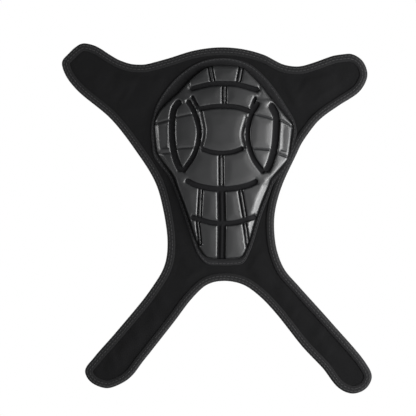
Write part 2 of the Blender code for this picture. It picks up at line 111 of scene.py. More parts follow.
def chains(pairs):
    """Pairs of points linked end to end into open lines."""
    links = {}
    for a, b in set(pairs):
        links.setdefault(a, set()).add(b)
        links.setdefault(b, set()).add(a)
    lines, seen = [], set()
    for start in sorted(links, key=lambda p: (len(links[p]), p)):
        if start in seen:
            continue
        line = [start]
        seen.add(start)
        while True:
            onward = sorted(p for p in links[line[-1]] if p not in seen)
            if not onward:
                break
            line.append(onward[0])
            seen.add(onward[0])
        if len(line) > 1:
            lines.append(np.array(line))
    return lines


def joined(lines):
    """Open lines joined into one loop, each to the nearest free end."""
    loop, rest = lines[0], list(lines[1:])
    while rest:
        gaps = [(min(np.hypot(*(line[0] - loop[-1])), np.hypot(*(line[-1] - loop[-1]))), i)
                for i, line in enumerate(rest)]
        line = rest.pop(min(gaps)[1])
        if np.hypot(*(line[-1] - loop[-1])) < np.hypot(*(line[0] - loop[-1])):
            line = line[::-1]
        loop = np.vstack([loop, line])
    return loop


def along_curve(points, step, closed=True):
    """A smooth line through the points, with a point every step."""
    spots = [np.array(p, float) for p in points]
    count = len(spots)
    if not closed:
        spots = [2 * spots[0] - spots[1]] + spots + [2 * spots[-1] - spots[-2]]
    fine = []
    for i in range(count if closed else count - 1):
        a, b, c, d = [spots[(i + k) % len(spots)] for k in ((-1, 0, 1, 2) if closed else (0, 1, 2, 3))]
        ta, tb = 0.0, max(np.hypot(*(b - a)), 1e-6) ** 0.5
        tc = tb + max(np.hypot(*(c - b)), 1e-6) ** 0.5
        td = tc + max(np.hypot(*(d - c)), 1e-6) ** 0.5
        for t in np.linspace(tb, tc, max(2, int(np.hypot(*(c - b)) / CURVE_STEP)), endpoint=False):
            ab = a + (b - a) * (t - ta) / (tb - ta)
            bc = b + (c - b) * (t - tb) / (tc - tb)
            cd = c + (d - c) * (t - tc) / (td - tc)
            abc = ab + (bc - ab) * (t - ta) / (tc - ta)
            bcd = bc + (cd - bc) * (t - tb) / (td - tb)
            fine.append(abc + (bcd - abc) * (t - tb) / (tc - tb))
    if not closed:
        fine.append(spots[-2])
    return even(np.array(fine), step, closed)


def even(line, step, closed=True):
    """The line with its points an even step apart."""
    ends = np.vstack([line, line[:1]]) if closed else line
    run = np.concatenate([[0], np.cumsum(np.hypot(*np.diff(ends, axis=0).T))])
    count = max(3, int(round(run[-1] / step)))
    at = np.linspace(0, run[-1], count, endpoint=not closed)
    return np.column_stack([np.interp(at, run, ends[:, k]) for k in (0, 1)])


def softened(loop, rounds):
    """The loop with its small kinks smoothed out, without shrinking."""
    for k in range(2 * rounds):
        share = 0.5 if k % 2 == 0 else -0.52
        loop = loop + share * ((np.roll(loop, 1, 0) + np.roll(loop, -1, 0)) / 2 - loop)
    return loop


def clockwise(loop):
    x, y = loop.T
    area = np.sum(x * np.roll(y, -1) - np.roll(x, -1) * y)
    return loop if area < 0 else loop[::-1]


def outward(loop):
    """The unit normal at each point of a clockwise loop."""
    along = np.roll(loop, -1, 0) - np.roll(loop, 1, 0)
    along /= np.hypot(*along.T)[:, None]
    return np.column_stack([-along[:, 1], along[:, 0]])


def grown(loop, distance):
    return loop + outward(loop) * distance


def inside(points, loop):
    """Which points lie inside a loop."""
    x, y = points[:, 0], points[:, 1]
    result = np.zeros(len(points), bool)
    for (x0, y0), (x1, y1) in zip(loop, np.roll(loop, -1, 0)):
        spans = (y0 > y) != (y1 > y)
        cross = x0 + (y - y0) * (x1 - x0) / (y1 - y0 if y1 != y0 else 1e-9)
        result ^= spans & (x < cross)
    return result


def distance(points, line, closed=True):
    """How far each point is from a line, and how far along the line its nearest place is."""
    ends = np.vstack([line, line[:1]]) if closed else np.asarray(line, float)
    best = np.full(len(points), 1e9)
    where = np.zeros(len(points))
    run = 0.0
    for a, b in zip(ends[:-1], ends[1:]):
        way = b - a
        length = max(float(np.hypot(*way)), 1e-9)
        t = np.clip((points - a) @ way / length ** 2, 0, 1)
        gap = np.hypot(*(points - a - t[:, None] * way).T)
        nearer = gap < best
        best[nearer] = gap[nearer]
        where[nearer] = run + t[nearer] * length
        run += length
    return best, where


def depth_in(points, loop):
    """How far inside a loop each point is: negative outside it."""
    gap = distance(points, loop)[0]
    return np.where(inside(points, loop), gap, -gap)


def ramp(value, low, high):
    """0 below low, 1 above high, and smooth between."""
    t = np.clip((value - low) / (high - low), 0, 1)
    return t * t * (3 - 2 * t)


WAVES, WAVE_SUM = 14, 5.3     # how many waves make a ripple, and what brings their sum to about 1
ROW_STEP = 0.866              # between staggered rows, as a share of the step along them


def ripple(points, size, seed):
    """A smooth, even noise between about -1 and 1, whose waves are about a size long."""
    dice = np.random.default_rng(seed)
    total = np.zeros(len(points))
    for _ in range(WAVES):
        turn = dice.uniform(0, math.tau)
        wave = math.tau / (size * dice.uniform(0.7, 1.6))
        along = points[:, 0] * math.cos(turn) + points[:, 1] * math.sin(turn)
        total += np.sin(wave * along + dice.uniform(0, 9))
    return total / WAVE_SUM


# ---- The outlines, from the frame ----
TAPE_NODES = [n for n in NODES if n.endswith("_binding")]
OUTLINE = joined([line[1:-1] if len(line) > 4 else line
                  for n in TAPE_NODES for line in chains(wall_lines(n)) if len(line) > 2])
SLEEVE = clockwise(softened(along_curve(OUTLINE, 1.5), 6))


AT_BEND = 0.4                 # a facing's wall nearer the bend than this is where it is parted
ARC_FOOT = 92                 # how far up the shield the arc over its upper corners begins


def facing_lines():
    """The inner and outer outline of the facing round the window."""
    found = []
    for node in ("window_facing_upper", "window_facing_lower"):
        pairs = [pair for pair in wall_lines(node) if max(abs(y - BEND_Y) for _, y in pair) > AT_BEND]
        lines = sorted(chains(pairs), key=lambda line: np.hypot(*np.diff(line, axis=0).T).sum())
        found.append(lines[-2:])
    return [clockwise(softened(along_curve(joined(halves), 1.2), 2)) for halves in zip(*found)]


WINDOW, FACING_EDGE = facing_lines()
SHELL_EDGE = grown(WINDOW, -WINDOW_CLEARANCE)
SHIELD_WIDE, SHIELD_LONG = 109.4, 151.4      # the shield's pattern, as it is drawn here
SHIELD_FOOT = SHELL_EDGE[:, 1].min()
PATTERN_SCALE = np.ptp(SHELL_EDGE, axis=0) / (SHIELD_WIDE, SHIELD_LONG)


def on_shield(point):
    """A place on the shield, from its distances from the centre line and up from the foot."""
    return np.array([MIDDLE_X, SHIELD_FOOT]) + np.array(point) * PATTERN_SCALE


# The facing's outer edge runs in one arc over the shield's upper corners.
FACING_ARC = [(-57.3, 100), (-56.4, 108), (-53.3, 119.7), (-45.4, 133.2), (-31.8, 147.3), (-17.2, 155.8),
              (-2.5, 158.5), (10.4, 157.3), (21.7, 152.8), (33, 143), (42, 132), (49.9, 119.8), (56.4, 108),
              (58, 98)]
below_arc = FACING_EDGE[FACING_EDGE[:, 1] < on_shield((0, ARC_FOOT))[1]]
turn = np.argmax(np.hypot(*np.diff(below_arc, axis=0).T)) + 1
below_arc = np.roll(below_arc, -turn, axis=0)[::8]
FACING_EDGE = clockwise(along_curve(np.vstack([below_arc, [on_shield(p) for p in FACING_ARC]]), 1.2))


# ---- The areas that the whole layers are cut into ----
STRAP_DROP = 44.0             # no strap reaches higher than this far below the sleeve's bend
SLEEVE_FOLD = 7.0             # each side of the sleeve's bend


def areas():
    """Each area's name, its two bodies, the ends of its fold, and the bodies whose CAD pieces it covers."""
    halves = ("core", "lower_core")
    found = [("middle", halves, (0, BEND_Y + SLEEVE_FOLD, 0), (0, BEND_Y - SLEEVE_FOLD, 0), halves)]
    for arm, (side, root, body, end) in ARMS.items():
        for name, first, last in ((f"{arm}_inner", root, body), (f"{arm}_outer", body, end)):
            hinge = hinge_x(last)
            ends = [(hinge + way * side * FOLD, 0, 0) for way in (-1, 1)]
            found.append((name, (first, last), *ends, (last,)))
    return found


AREAS = areas()


def cut_lines():
    """The upright planes between the areas: a point and a normal for each."""
    found = [((0, BEND_Y - STRAP_DROP, 0), (0, 1, 0))]
    for side, root, body, end in ARMS.values():
        for x in (hinge_x(body) - side * FOLD, (hinge_x(body) + hinge_x(end)) / 2):
            found.append(((x, 0, 0), (1, 0, 0)))
    return found


def area_of(points):
    """The number of the area that each point lies in."""
    x, y = points[:, 0], points[:, 1]
    number = np.zeros(len(points), int)
    for k, (side, root, body, end) in enumerate(ARMS.values()):
        row = y > BEND_Y if root == "core" else y < BEND_Y - STRAP_DROP
        number[row & (side * (x - hinge_x(body)) > -FOLD)] = 2 * k + 1
        number[row & (side * (x - (hinge_x(body) + hinge_x(end)) / 2) > 0)] = 2 * k + 2
    return number


# ---- Making meshes ----
def thinned(points, gap, fixed=()):
    """The points without those closer than a gap to an earlier or a fixed one."""
    cells, kept = {}, []
    for count, p in enumerate(list(fixed) + list(points)):
        column, row = int(p[0] // gap), int(p[1] // gap)
        near = (q for i in (-1, 0, 1) for j in (-1, 0, 1) for q in cells.get((column + i, row + j), ()))
        if count < len(fixed) or all((p[0] - q[0]) ** 2 + (p[1] - q[1]) ** 2 > gap * gap for q in near):
            cells.setdefault((column, row), []).append(p)
            if count >= len(fixed):
                kept.append(p)
    return np.array(kept)


def grid(loop, step):
    """Staggered rows of points over a loop's box."""
    low, high = loop.min(0), loop.max(0)
    rows = np.arange(low[1], high[1], step * ROW_STEP)
    return np.array([(x + step / 2 * (k % 2), y) for k, y in enumerate(rows)
                     for x in np.arange(low[0], high[0], step)])


def filled(loops, points):
    """The plan of a sheet: its points, with the loops' own first, and triangles between them."""
    fixed = np.vstack(loops)
    edges, start = [], 0
    for loop in loops:
        edges += [(start + i, start + (i + 1) % len(loop)) for i in range(len(loop))]
        start += len(loop)
    keep = inside(points, loops[0])
    for hole in loops[1:]:
        keep &= ~inside(points, hole)
    plan = np.vstack([fixed, points[keep]])
    corners, _, triangles, *_ = geometry.delaunay_2d_cdt([Vector(p) for p in plan], edges, [], 0, 1e-5)
    plan, triangles = np.array(corners), np.array(triangles)
    middles = plan[triangles].mean(1)
    keep = inside(middles, loops[0])
    for hole in loops[1:]:
        keep &= ~inside(middles, hole)
    return plan, triangles[keep]


def slab(plan, triangles, top, bottom):
    """A closed sheet between a top and a bottom height at each point of its plan."""
    count = len(plan)
    spots = np.vstack([np.column_stack([plan, top]), np.column_stack([plan, bottom])])
    edges = {}
    for a, b, c in triangles:
        for pair in ((a, b), (b, c), (c, a)):
            edges[pair] = edges.get(pair, 0) + 1
    rim = [(a, b) for a, b in edges if (b, a) not in edges]
    faces = [tuple(t) for t in triangles] + [tuple(t[::-1] + count) for t in triangles]
    faces += [(b, a, a + count, b + count) for a, b in rim]
    return spots, faces


def loft(rings):
    """A closed band through rings of points, all round its section and its length."""
    count, size = len(rings), len(rings[0])
    spots = np.vstack(rings)
    faces = [(i * size + j, i * size + (j + 1) % size, (i + 1) % count * size + (j + 1) % size,
              (i + 1) % count * size + j) for i in range(count) for j in range(size)]
    return spots, faces


def mesh_of(name, spots, faces, layers=()):
    """A mesh from points in millimetres, with its resting places and other numbers as attributes."""
    made = bpy.data.meshes.new(name)
    made.from_pydata((np.asarray(spots) * MM).tolist(), [], [[int(i) for i in f] for f in faces])
    at = made.attributes.new("at", "FLOAT_VECTOR", "POINT")
    at.data.foreach_set("vector", np.asarray(spots, np.float32).ravel())
    for key, values in dict(layers).items():
        made.attributes.new(key, "FLOAT", "POINT").data.foreach_set("value", np.asarray(values, np.float32))
    tidy = bmesh.new()
    tidy.from_mesh(made)
    bmesh.ops.recalc_face_normals(tidy, faces=tidy.faces)
    tidy.to_mesh(made)
    tidy.free()
    return made


def placed(name, mesh, finish, sharp=50):
    """The mesh as a piece of the guard, smooth but for its sharp edges."""
    made = bpy.data.objects.new(name, mesh)
    bpy.context.scene.collection.objects.link(made)
    mesh.materials.clear()
    mesh.materials.append(finish)
    mesh.shade_smooth()
    mesh.set_sharp_from_angle(angle=math.radians(sharp))
    return made


def metres(place):
    return tuple(v * MM for v in place)


def cut_up(layer, mesh, finish, replaced, sharp=50):
    """A whole layer cut into its areas. Each becomes a piece, and the CAD pieces that it stands for are hidden."""
    whole = bmesh.new()
    whole.from_mesh(mesh)
    for place, normal in cut_lines():
        bmesh.ops.bisect_plane(whole, geom=whole.verts[:] + whole.edges[:] + whole.faces[:], dist=1e-7,
                               plane_co=metres(place), plane_no=normal)
    whole.faces.ensure_lookup_table()
    number = area_of(np.array([f.calc_center_median() for f in whole.faces]) / MM)
    pieces = []
    for k, area in enumerate(AREAS):
        part = whole.copy()
        part.faces.ensure_lookup_table()
        away = [f for f, n in zip(part.faces, number) if n != k]
        bmesh.ops.delete(part, geom=away, context="FACES")
        if part.faces:
            bmesh.ops.holes_fill(part, edges=[e for e in part.edges if e.is_boundary], sides=0)
            made = bpy.data.meshes.new(f"{area[0]}_{layer}")
            part.to_mesh(made)
            pieces.append(bent(placed(f"{area[0]}_{layer}", made, finish, sharp), area, replaced))
        part.free()
    whole.free()
    return pieces


def bent(made, area, replaced=None):
    """The piece with its transform baked into its mesh, and the CAD pieces that it stands for on its area's bodies
    hidden.
    """
    name, (first, last), start, end, bodies = area
    metres(start)
    metres(end)
    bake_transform(made)
    if replaced:
        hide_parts(*replaced(bodies))
    return made


BODIES = frame["record"]["behaviour"]["bodies"]


def made_for(layer):
    """Finds the CAD pieces of a layer on some bodies."""
    return lambda bodies: [n for body in bodies for n in BODIES[body] if n.endswith(layer)]


# ---- Finishes ----
class Number:
    """A shader socket with Python's operators, each of which adds a Math node."""

    def __init__(self, tree, socket):
        self.tree, self.socket = tree, socket

    def maths(self, operation, *values):
        node = self.tree.nodes.new("ShaderNodeMath")
        node.operation = operation
        for slot, value in zip(node.inputs, values):
            if isinstance(value, Number):
                self.tree.links.new(value.socket, slot)
            else:
                slot.default_value = value
        return Number(self.tree, node.outputs[0])

    def __add__(self, other):
        return self.maths("ADD", self, other)

    __radd__ = __add__

    def __sub__(self, other):
        return self.maths("SUBTRACT", self, other)

    def __rsub__(self, other):
        return self.maths("SUBTRACT", other, self)

    def __mul__(self, other):
        return self.maths("MULTIPLY", self, other)

    __rmul__ = __mul__

    def clear(self):
        """Held between 0 and 1."""
        return self.maths("MAXIMUM", self.maths("MINIMUM", self, 1.0), 0.0)

    def wave(self, pitch):
        """A sine wave between 0 and 1, which repeats every pitch."""
        return self.maths("SINE", self * (math.tau / pitch)) * 0.5 + 0.5


class Finish:
    """A material under construction: its nodes, its shader and what feeds it."""

    def __init__(self, name, **constants):
        self.material = bpy.data.materials.new(name)
        self.material.use_nodes = True
        self.tree = self.material.node_tree
        self.shader = self.tree.nodes["Principled BSDF"]
        for socket, value in constants.items():
            self.shader.inputs[socket.replace("_", " ")].default_value = value
        self.place = self.add("ShaderNodeAttribute", {"attribute_name": "at"}).outputs["Vector"]

    def add(self, kind, settings=None, **sockets):
        """A node of a kind: its settings first, then its sockets' values or links."""
        node = self.tree.nodes.new(kind)
        for key, value in (settings or {}).items():
            setattr(node, key, value)
        for key, value in sockets.items():
            self.feed(node.inputs[key.replace("_", " ")], value)
        return node

    def feed(self, slot, value):
        if isinstance(value, Number):
            value = value.socket
        if isinstance(value, bpy.types.NodeSocket):
            self.tree.links.new(value, slot)
        else:
            slot.default_value = value

    def number(self, name):
        """One of the mesh's own numbers."""
        return Number(self.tree, self.add("ShaderNodeAttribute", {"attribute_name": name}).outputs["Fac"])

    def grain(self, size, detail=2.0, roughness=0.5):
        """Noise between 0 and 1, whose spots are about a size across in millimetres."""
        node = self.add("ShaderNodeTexNoise", Vector=self.place, Scale=1 / size, Detail=detail,
                        Roughness=roughness)
        return Number(self.tree, node.outputs["Fac"])

    def cells(self, size, feature="F1"):
        """How far each place is from the nearest cell's middle."""
        node = self.add("ShaderNodeTexVoronoi", {"feature": feature}, Vector=self.place, Scale=1 / size)
        return Number(self.tree, node.outputs["Distance"])

    def axes(self):
        """The resting place's three lengths, in millimetres."""
        node = self.add("ShaderNodeSeparateXYZ", Vector=self.place)
        return [Number(self.tree, out) for out in node.outputs]

    def mixed(self, share, first, second):
        """A colour between two."""
        node = self.add("ShaderNodeMix", {"data_type": "RGBA"})
        self.feed(node.inputs[0], share.clear())
        self.feed(node.inputs[6], (*first, 1))
        self.feed(node.inputs[7], (*second, 1))
        return node.outputs[2]

    def bump(self, height, depth):
        """A surface that rises by a depth in millimetres where height goes from 0 to 1."""
        node = self.add("ShaderNodeBump", Strength=1.0, Distance=depth * MM, Height=height)
        self.feed(self.shader.inputs["Normal"], node.outputs["Normal"])

    def colour(self, value):
        self.feed(self.shader.inputs["Base Color"], value)

    def roughness(self, value):
        self.feed(self.shader.inputs["Roughness"], value)


def loop_cloth():
    """Black brushed loop cloth: a soft nap over a fine knit."""
    made = Finish("loop_cloth", Specular_IOR_Level=0.05, Sheen_Weight=0.02, Sheen_Roughness=0.6)
    nap, patches = made.grain(0.55, 3.0, 0.7), made.grain(16.0)
    tone = nap * 0.7 + patches * 0.5 - 0.2
    made.colour(made.mixed(tone, (0.0028, 0.0028, 0.003), (0.0068, 0.0068, 0.0072)))
    made.roughness(0.85 + nap * 0.12)
    made.bump(nap * 0.7 + made.cells(0.9) * 0.5, 0.10)
    return made.material


def ribbed_tape(name, dark, light):
    """Black woven tape with fine ribs across it, lighter along its rolled fold and its ridges as painted
    highlight.
    """
    made = Finish(name, Specular_IOR_Level=0.1, Sheen_Weight=0.02, Sheen_Roughness=0.5)
    ribs, wear = made.number("run").wave(0.9), made.grain(3.0)
    # painted highlight: the tape's colour is lighter where the mesh's highlight number is high
    edge_highlight = made.number("edge_highlight")
    made.colour(made.mixed(ribs * 0.35 + wear * 0.3 + edge_highlight * 0.5 - 0.1, dark, light))
    made.roughness(0.7 + wear * 0.2)
    made.bump(ribs + made.grain(0.3) * 0.4, 0.07)
    return made.material


def lining_cloth():
    """Black knitted lining: rows of small loops."""
    made = Finish("lining_cloth", Specular_IOR_Level=0.15, Sheen_Weight=0.06, Sheen_Roughness=0.5)
    x, y, z = made.axes()
    knit = x.wave(1.4) * (y + x.wave(1.4) * 0.45).wave(1.1)
    tone = knit * 0.8 + made.grain(9.0) * 0.3
    made.colour(made.mixed(tone, (0.006, 0.006, 0.0065), (0.017, 0.017, 0.018)))
    made.roughness(0.75 + made.grain(0.5) * 0.2)
    made.bump(knit, 0.16)
    return made.material


def foam(name, light):
    """Closed-cell foam with fine pores."""
    made = Finish(name, Specular_IOR_Level=0.2)
    pores = made.cells(0.5)
    made.colour(made.mixed(pores, (0.02, 0.02, 0.021), light))
    made.roughness(0.8 + pores * 0.15)
    made.bump(pores, 0.08)
    return made.material


def moulded_shell():
    """Black satin-gloss moulding. The plates shine and are lighter along their rims as painted highlight, and the
    grooves between them are matt and darker as painted shade.
    """
    made = Finish("moulded_shell", Specular_IOR_Level=0.5, Coat_Weight=0.15, Coat_Roughness=0.18)
    depth, edge_highlight = made.number("depth"), made.number("edge_highlight")
    scuffs = made.grain(0.35, 4.0, 0.7)
    drawn_out = made.add("ShaderNodeMapping", Vector=made.place, Rotation=(0, 0, 0.5), Scale=(0.12, 2.2, 1))
    marks = made.add("ShaderNodeTexNoise", Vector=drawn_out.outputs[0], Scale=0.9, Detail=4.0)
    scratches = (Number(made.tree, marks.outputs["Fac"]) - 0.6) * 6
    clouds = made.grain(14.0)
    # painted highlight: the plates are lighter along their rims and round the shield's outline
    tone = clouds * 0.6 + edge_highlight * 0.3 - 0.1
    made.colour(made.mixed(tone, (0.006, 0.0062, 0.0066), (0.017, 0.0175, 0.0185)))
    made.roughness(0.30 + scuffs * 0.12 + clouds * 0.08 + scratches.clear() * 0.12)
    made.bump(scuffs + made.grain(5.0) * 0.3, 0.012)
    # painted shade: the grooves get a darker, duller shader than the plates, mixed in by groove depth
    matt = made.add("ShaderNodeBsdfPrincipled", Roughness=0.8, Specular_IOR_Level=0.08,
                    Base_Color=(0.0055, 0.0055, 0.006, 1))
    both = made.add("ShaderNodeMixShader")
    made.feed(both.inputs[0], ((depth - 0.22) * 3.2).clear())
    made.feed(both.inputs[1], made.shader.outputs[0])
    made.feed(both.inputs[2], matt.outputs[0])
    made.feed(made.tree.nodes["Material Output"].inputs["Surface"], both.outputs[0])
    return made.material


def thread():
    """Black twisted sewing thread, a little shinier than the cloth."""
    made = Finish("sewing_thread", Specular_IOR_Level=0.35, Sheen_Weight=0.05)
    twist = made.grain(0.25)
    made.colour(made.mixed(twist, (0.012, 0.012, 0.0125), (0.03, 0.03, 0.031)))
    made.roughness(0.5 + twist * 0.2)
    return made.material


def hook_tape():
    """Black hook tape: a woven ground under stiff little hooks."""
    made = Finish("hook_tape", Specular_IOR_Level=0.3)
    x, y, z = made.axes()
    weave = x.wave(0.8) * y.wave(0.8)
    made.colour(made.mixed(weave, (0.006, 0.006, 0.0065), (0.02, 0.02, 0.021)))
    made.roughness(0.5 + weave * 0.3)
    made.bump(weave, 0.08)
    return made.material


CLOTH = loop_cloth()
TAPE = ribbed_tape("binding_tape", (0.0045, 0.0045, 0.0048), (0.0145, 0.0145, 0.0152))
FACING = ribbed_tape("window_facing", (0.0035, 0.0035, 0.0038), (0.016, 0.016, 0.017))
LINING, SHELL, THREAD, HOOK = lining_cloth(), moulded_shell(), thread(), hook_tape()
FOAM, SHIELD_FOAM = foam("foam_rubber", (0.06, 0.06, 0.063)), foam("shield_foam", (0.07, 0.07, 0.073))


# ---- Binding: a folded tape round the whole edge ----
FOLD_SECTION = [              # the tape's section: how far in from the edge, and height
    (TAPE_REACH, 5.15), (TAPE_REACH, 5.5), (5.6, 5.78), (4.6, 5.86), (3.2, 5.92), (1.9, 5.8), (0.9, 5.3),
    (0.25, 4.4), (0.0, 3.2), (0.05, 2.2), (0.35, 1.2), (0.95, 0.4), (1.9, 0.05), (3.6, 0.0),
    (TAPE_REACH, 0.05), (TAPE_REACH, 0.55), (3.0, 0.6), (1.6, 0.9), (0.9, 1.9), (0.7, 3.2), (1.0, 4.4),
    (1.8, 5.05), (3.4, 5.15),
]


def inset(loop, depth):
    """The loop moved inward, and mitred where its corners are tighter than the move."""
    if depth == 0:
        return loop
    moved = loop - outward(loop) * depth
    true = depth_in(moved, loop) > depth * 0.985 - 0.02      # the points that no other side overtakes
    run = np.arange(len(loop))
    return np.column_stack([np.interp(run, run[true], moved[true, k], period=len(loop)) for k in (0, 1)])


def length_along(loop):
    return np.concatenate([[0], np.cumsum(np.hypot(*np.diff(loop, axis=0).T))])


INSETS = {depth: inset(SLEEVE, depth) for depth in sorted({d for d, _ in FOLD_SECTION})}
run = length_along(SLEEVE)
rings = [np.column_stack([INSETS[d], np.full(len(SLEEVE), z)]) for d, z in FOLD_SECTION]
# painted highlight along the tape's rolled fold, lightest about 1.2 mm in from the outline
edge_highlight = [math.exp(-((d - 1.2) / 1.6) ** 2) for d, _ in FOLD_SECTION]
spots, faces = loft(rings)
layers = {"run": np.tile(run, len(rings)), "edge_highlight": np.repeat(edge_highlight, len(SLEEVE))}
binding = mesh_of("binding", spots, faces, layers)
cut_up("binding", binding, TAPE, made_for("_binding"), sharp=60)


# ---- Cover, foam and lining ----
SLEEVE_IN = inset(SLEEVE, LAYER_INSET)
POCKET = grown(SHELL_EDGE, FLANGE_WIDTH + 0.3)
CLOTH_STEP = 3.4
SEAM_AT = 3.9                 # the row of stitches, in from the edge
MOST_PUCKER = 0.55            # how far the sewn cloth may lift or sink
SETTLING = 20                 # frames that the sewn cloth takes to settle


def puckered(plan, triangles, held):
    """How far the sewn cloth lifts at each point: it is a little larger than what it is sewn to."""
    mesh = bpy.data.meshes.new("sewn_cloth")
    mesh.from_pydata([(x * MM, y * MM, 0) for x, y in plan], [], [[int(i) for i in t] for t in triangles])
    made = bpy.data.objects.new("sewn_cloth", mesh)
    bpy.context.scene.collection.objects.link(made)
    pins = made.vertex_groups.new(name="sewn")
    pins.add([int(i) for i in np.flatnonzero(held)], 1.0, "REPLACE")
    cloth = made.modifiers.new("cloth", "CLOTH")
    cloth.settings.vertex_group_mass = "sewn"
    cloth.settings.effector_weights.gravity = 0
    cloth.settings.use_pressure = True
    cloth.settings.uniform_pressure_force = 0.6
    cloth.settings.shrink_min = -0.025
    cloth.settings.mass = 0.2
    cloth.settings.tension_stiffness = cloth.settings.compression_stiffness = 12
    cloth.settings.bending_stiffness = 0.4
    cloth.point_cache.frame_end = SETTLING
    for moment in range(1, SETTLING + 1):
        bpy.context.scene.frame_set(moment)
    shape = made.evaluated_get(bpy.context.evaluated_depsgraph_get()).data
    lift = np.array([v.co.z for v in shape.vertices]) / MM
    bpy.context.scene.frame_set(1)
    bpy.data.objects.remove(made)
    bpy.data.meshes.remove(mesh)
    return MOST_PUCKER * np.tanh(lift / MOST_PUCKER)


def sewn_height(plan, lift):
    """The cover's height: pulled down at its seams and full between them."""
    seam = depth_in(plan, SLEEVE)
    window = distance(plan, FACING_EDGE)[0]
    full = 0.75 * ramp(seam, TAPE_REACH - 0.6, 14) * ramp(window, -0.5, 9) * (~inside(plan, FACING_EDGE))
    wide = ripple(plan, 46, 3) * 0.22 + ripple(plan, 17, 5) * 0.08
    free = ramp(seam, TAPE_REACH, 11) * ramp(window, 0, 6)
    return COVER_TOP + full * (1 + 0.4 * wide) + (lift + wide) * free


plan, triangles = filled([even(SLEEVE_IN, EDGE_STEP), even(WINDOW, WINDOW_STEP)], grid(SLEEVE, CLOTH_STEP))
sewn = (depth_in(plan, SLEEVE) < SEAM_AT + 1) | inside(plan, grown(FACING_EDGE, 0.6))
lift = puckered(plan, triangles, sewn)


def hook_outline(node):
    return clockwise(even(joined(chains(wall_lines(node))), 1.5))


PATCHES = {node: hook_outline(node) for node in ("upper_hook_patch", "lower_hook_patch")}


def subdivided(name, spots, faces, thickness):
    """A smooth closed sheet, from the points of its upper face."""
    made = bpy.data.objects.new(name, mesh_of(name, spots, faces))
    bpy.context.scene.collection.objects.link(made)
    made.modifiers.new("smooth", "SUBSURF").levels = 1
    solid = made.modifiers.new("solid", "SOLIDIFY")
    solid.thickness = thickness * MM
    solid.offset = -1
    shape = made.evaluated_get(bpy.context.evaluated_depsgraph_get()).data
    spots = np.array([v.co for v in shape.vertices]) / MM
    faces = [tuple(p.vertices) for p in shape.polygons]
    bpy.data.objects.remove(made)
    return mesh_of(name, spots, faces)


LEAST_AREA = 0.31             # the least share of its flat size that a sheet's area is given as


def plan_size(made):
    """A sheet's flat width, length and area, in metres: it is flat at rest but for its puckers."""
    made.data.calc_loop_triangles()
    total = sum(t.area for t in made.data.loop_triangles) / 2
    spots = np.array([v.co for v in made.data.vertices])[:, :2]
    width, length = (float(v) for v in spots.max(0) - spots.min(0))
    return (width, length), float(np.clip(total, LEAST_AREA * width * length, width * length))


def declared_sheets(pieces, rests_on):
    for made, pad in zip(pieces, rests_on):
        size, area = plan_size(made)


# The foam first, because the cloths lie on it.
foam_loops = [even(inset(SLEEVE, LAYER_INSET + 0.3), EDGE_STEP), even(WINDOW, WINDOW_STEP)]
foam_plan, foam_faces = filled(foam_loops, grid(SLEEVE, 5.0))
foam_top, foam_bottom = [np.full(len(foam_plan), z) for z in (COVER_Z - 0.1, LINING_TOP + 0.1)]
spots, faces = slab(foam_plan, foam_faces, foam_top, foam_bottom)
pads = cut_up("foam", mesh_of("foam", spots, faces), FOAM, made_for("_foam"))

top = sewn_height(plan, lift)
for outline in PATCHES.values():
    near = distance(plan, outline)[0]
    top += 0.10 * np.exp(-(near / 1.6) ** 2) + 0.10 * inside(plan, outline)
cover = subdivided("cover", np.column_stack([plan, top]), triangles, 0.5)
covers = cut_up("cover", cover, CLOTH, made_for("_cover"))
declared_sheets(covers, pads)

lining_plan, lining_faces = filled([even(SLEEVE_IN, EDGE_STEP)], grid(SLEEVE, 4.0))
sag = 0.22 * ramp(depth_in(lining_plan, SLEEVE), TAPE_REACH, 16) * (1 + 0.6 * ripple(lining_plan, 30, 11))
lining = subdivided("lining", np.column_stack([lining_plan, LINING_TOP - sag]), lining_faces, 0.45)
linings = cut_up("lining", lining, LINING, made_for("_lining"))
declared_sheets(linings, pads)


# ---- Facing round the window ----
FACING_TOP = TAPE_TOP
facing_rows = [grown(FACING_EDGE, -d) for d in (0.35, 0.7, 1.1, 1.5, 1.9, 2.3, 2.8)]
facing_rows += [grown(WINDOW, d) for d in (0.4, 0.9)]
points = thinned(np.vstack(facing_rows + [grid(FACING_EDGE, 1.6)]), 0.55, np.vstack([FACING_EDGE, WINDOW]))
facing_plan, facing_faces = filled([FACING_EDGE, WINDOW], points)
rim, inner = distance(facing_plan, FACING_EDGE)[0], distance(facing_plan, WINDOW)[0]
ridge = 0.35 * np.exp(-((rim - 0.75) / 0.45) ** 2) + 0.22 * np.exp(-((rim - 2.3) / 0.4) ** 2)
roll = -0.5 * (1 - ramp(rim, 0, 0.5)) - 0.35 * (1 - ramp(inner, 0, 0.7))
facing_top = FACING_TOP - 0.12 + ridge + roll
spots, faces = slab(facing_plan, facing_faces, facing_top, np.full(len(facing_plan), COVER_TOP + 0.05))
# painted highlight: the facing's colour is lighter along its two ridges
layers = {"run": np.tile(distance(facing_plan, FACING_EDGE)[1], 2),
          "edge_highlight": np.tile(np.exp(-((rim - 0.9) / 0.6) ** 2) + 0.6 * np.exp(-((rim - 2.3) / 0.4) ** 2), 2)}
mesh = mesh_of("window_facing", spots, faces, layers)
facing = placed("window_facing", mesh, FACING, 60)
bent(facing, AREAS[0])
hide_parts("window_facing_upper", "window_facing_lower")


# ---- Shield ----
CROWN_AT = 0.58               # how far up the shield its crown is, as a share of its length
CROWN = np.array([MIDDLE_X, SHIELD_FOOT + CROWN_AT * SHIELD_LONG * PATTERN_SCALE[1]])
DOME_Z = 0.5                  # the foot of the dome that shapes the shield
DOME = (68.4, 106.0, SHELL_TOP - DOME_Z)     # half its width and length, and its rise


def dome(points):
    """The height of the shield's smooth crown."""
    x, y = (points - CROWN).T
    return DOME_Z + DOME[2] * np.sqrt(np.clip(1 - (x / DOME[0]) ** 2 - (y / DOME[1]) ** 2, 0.02, 1))


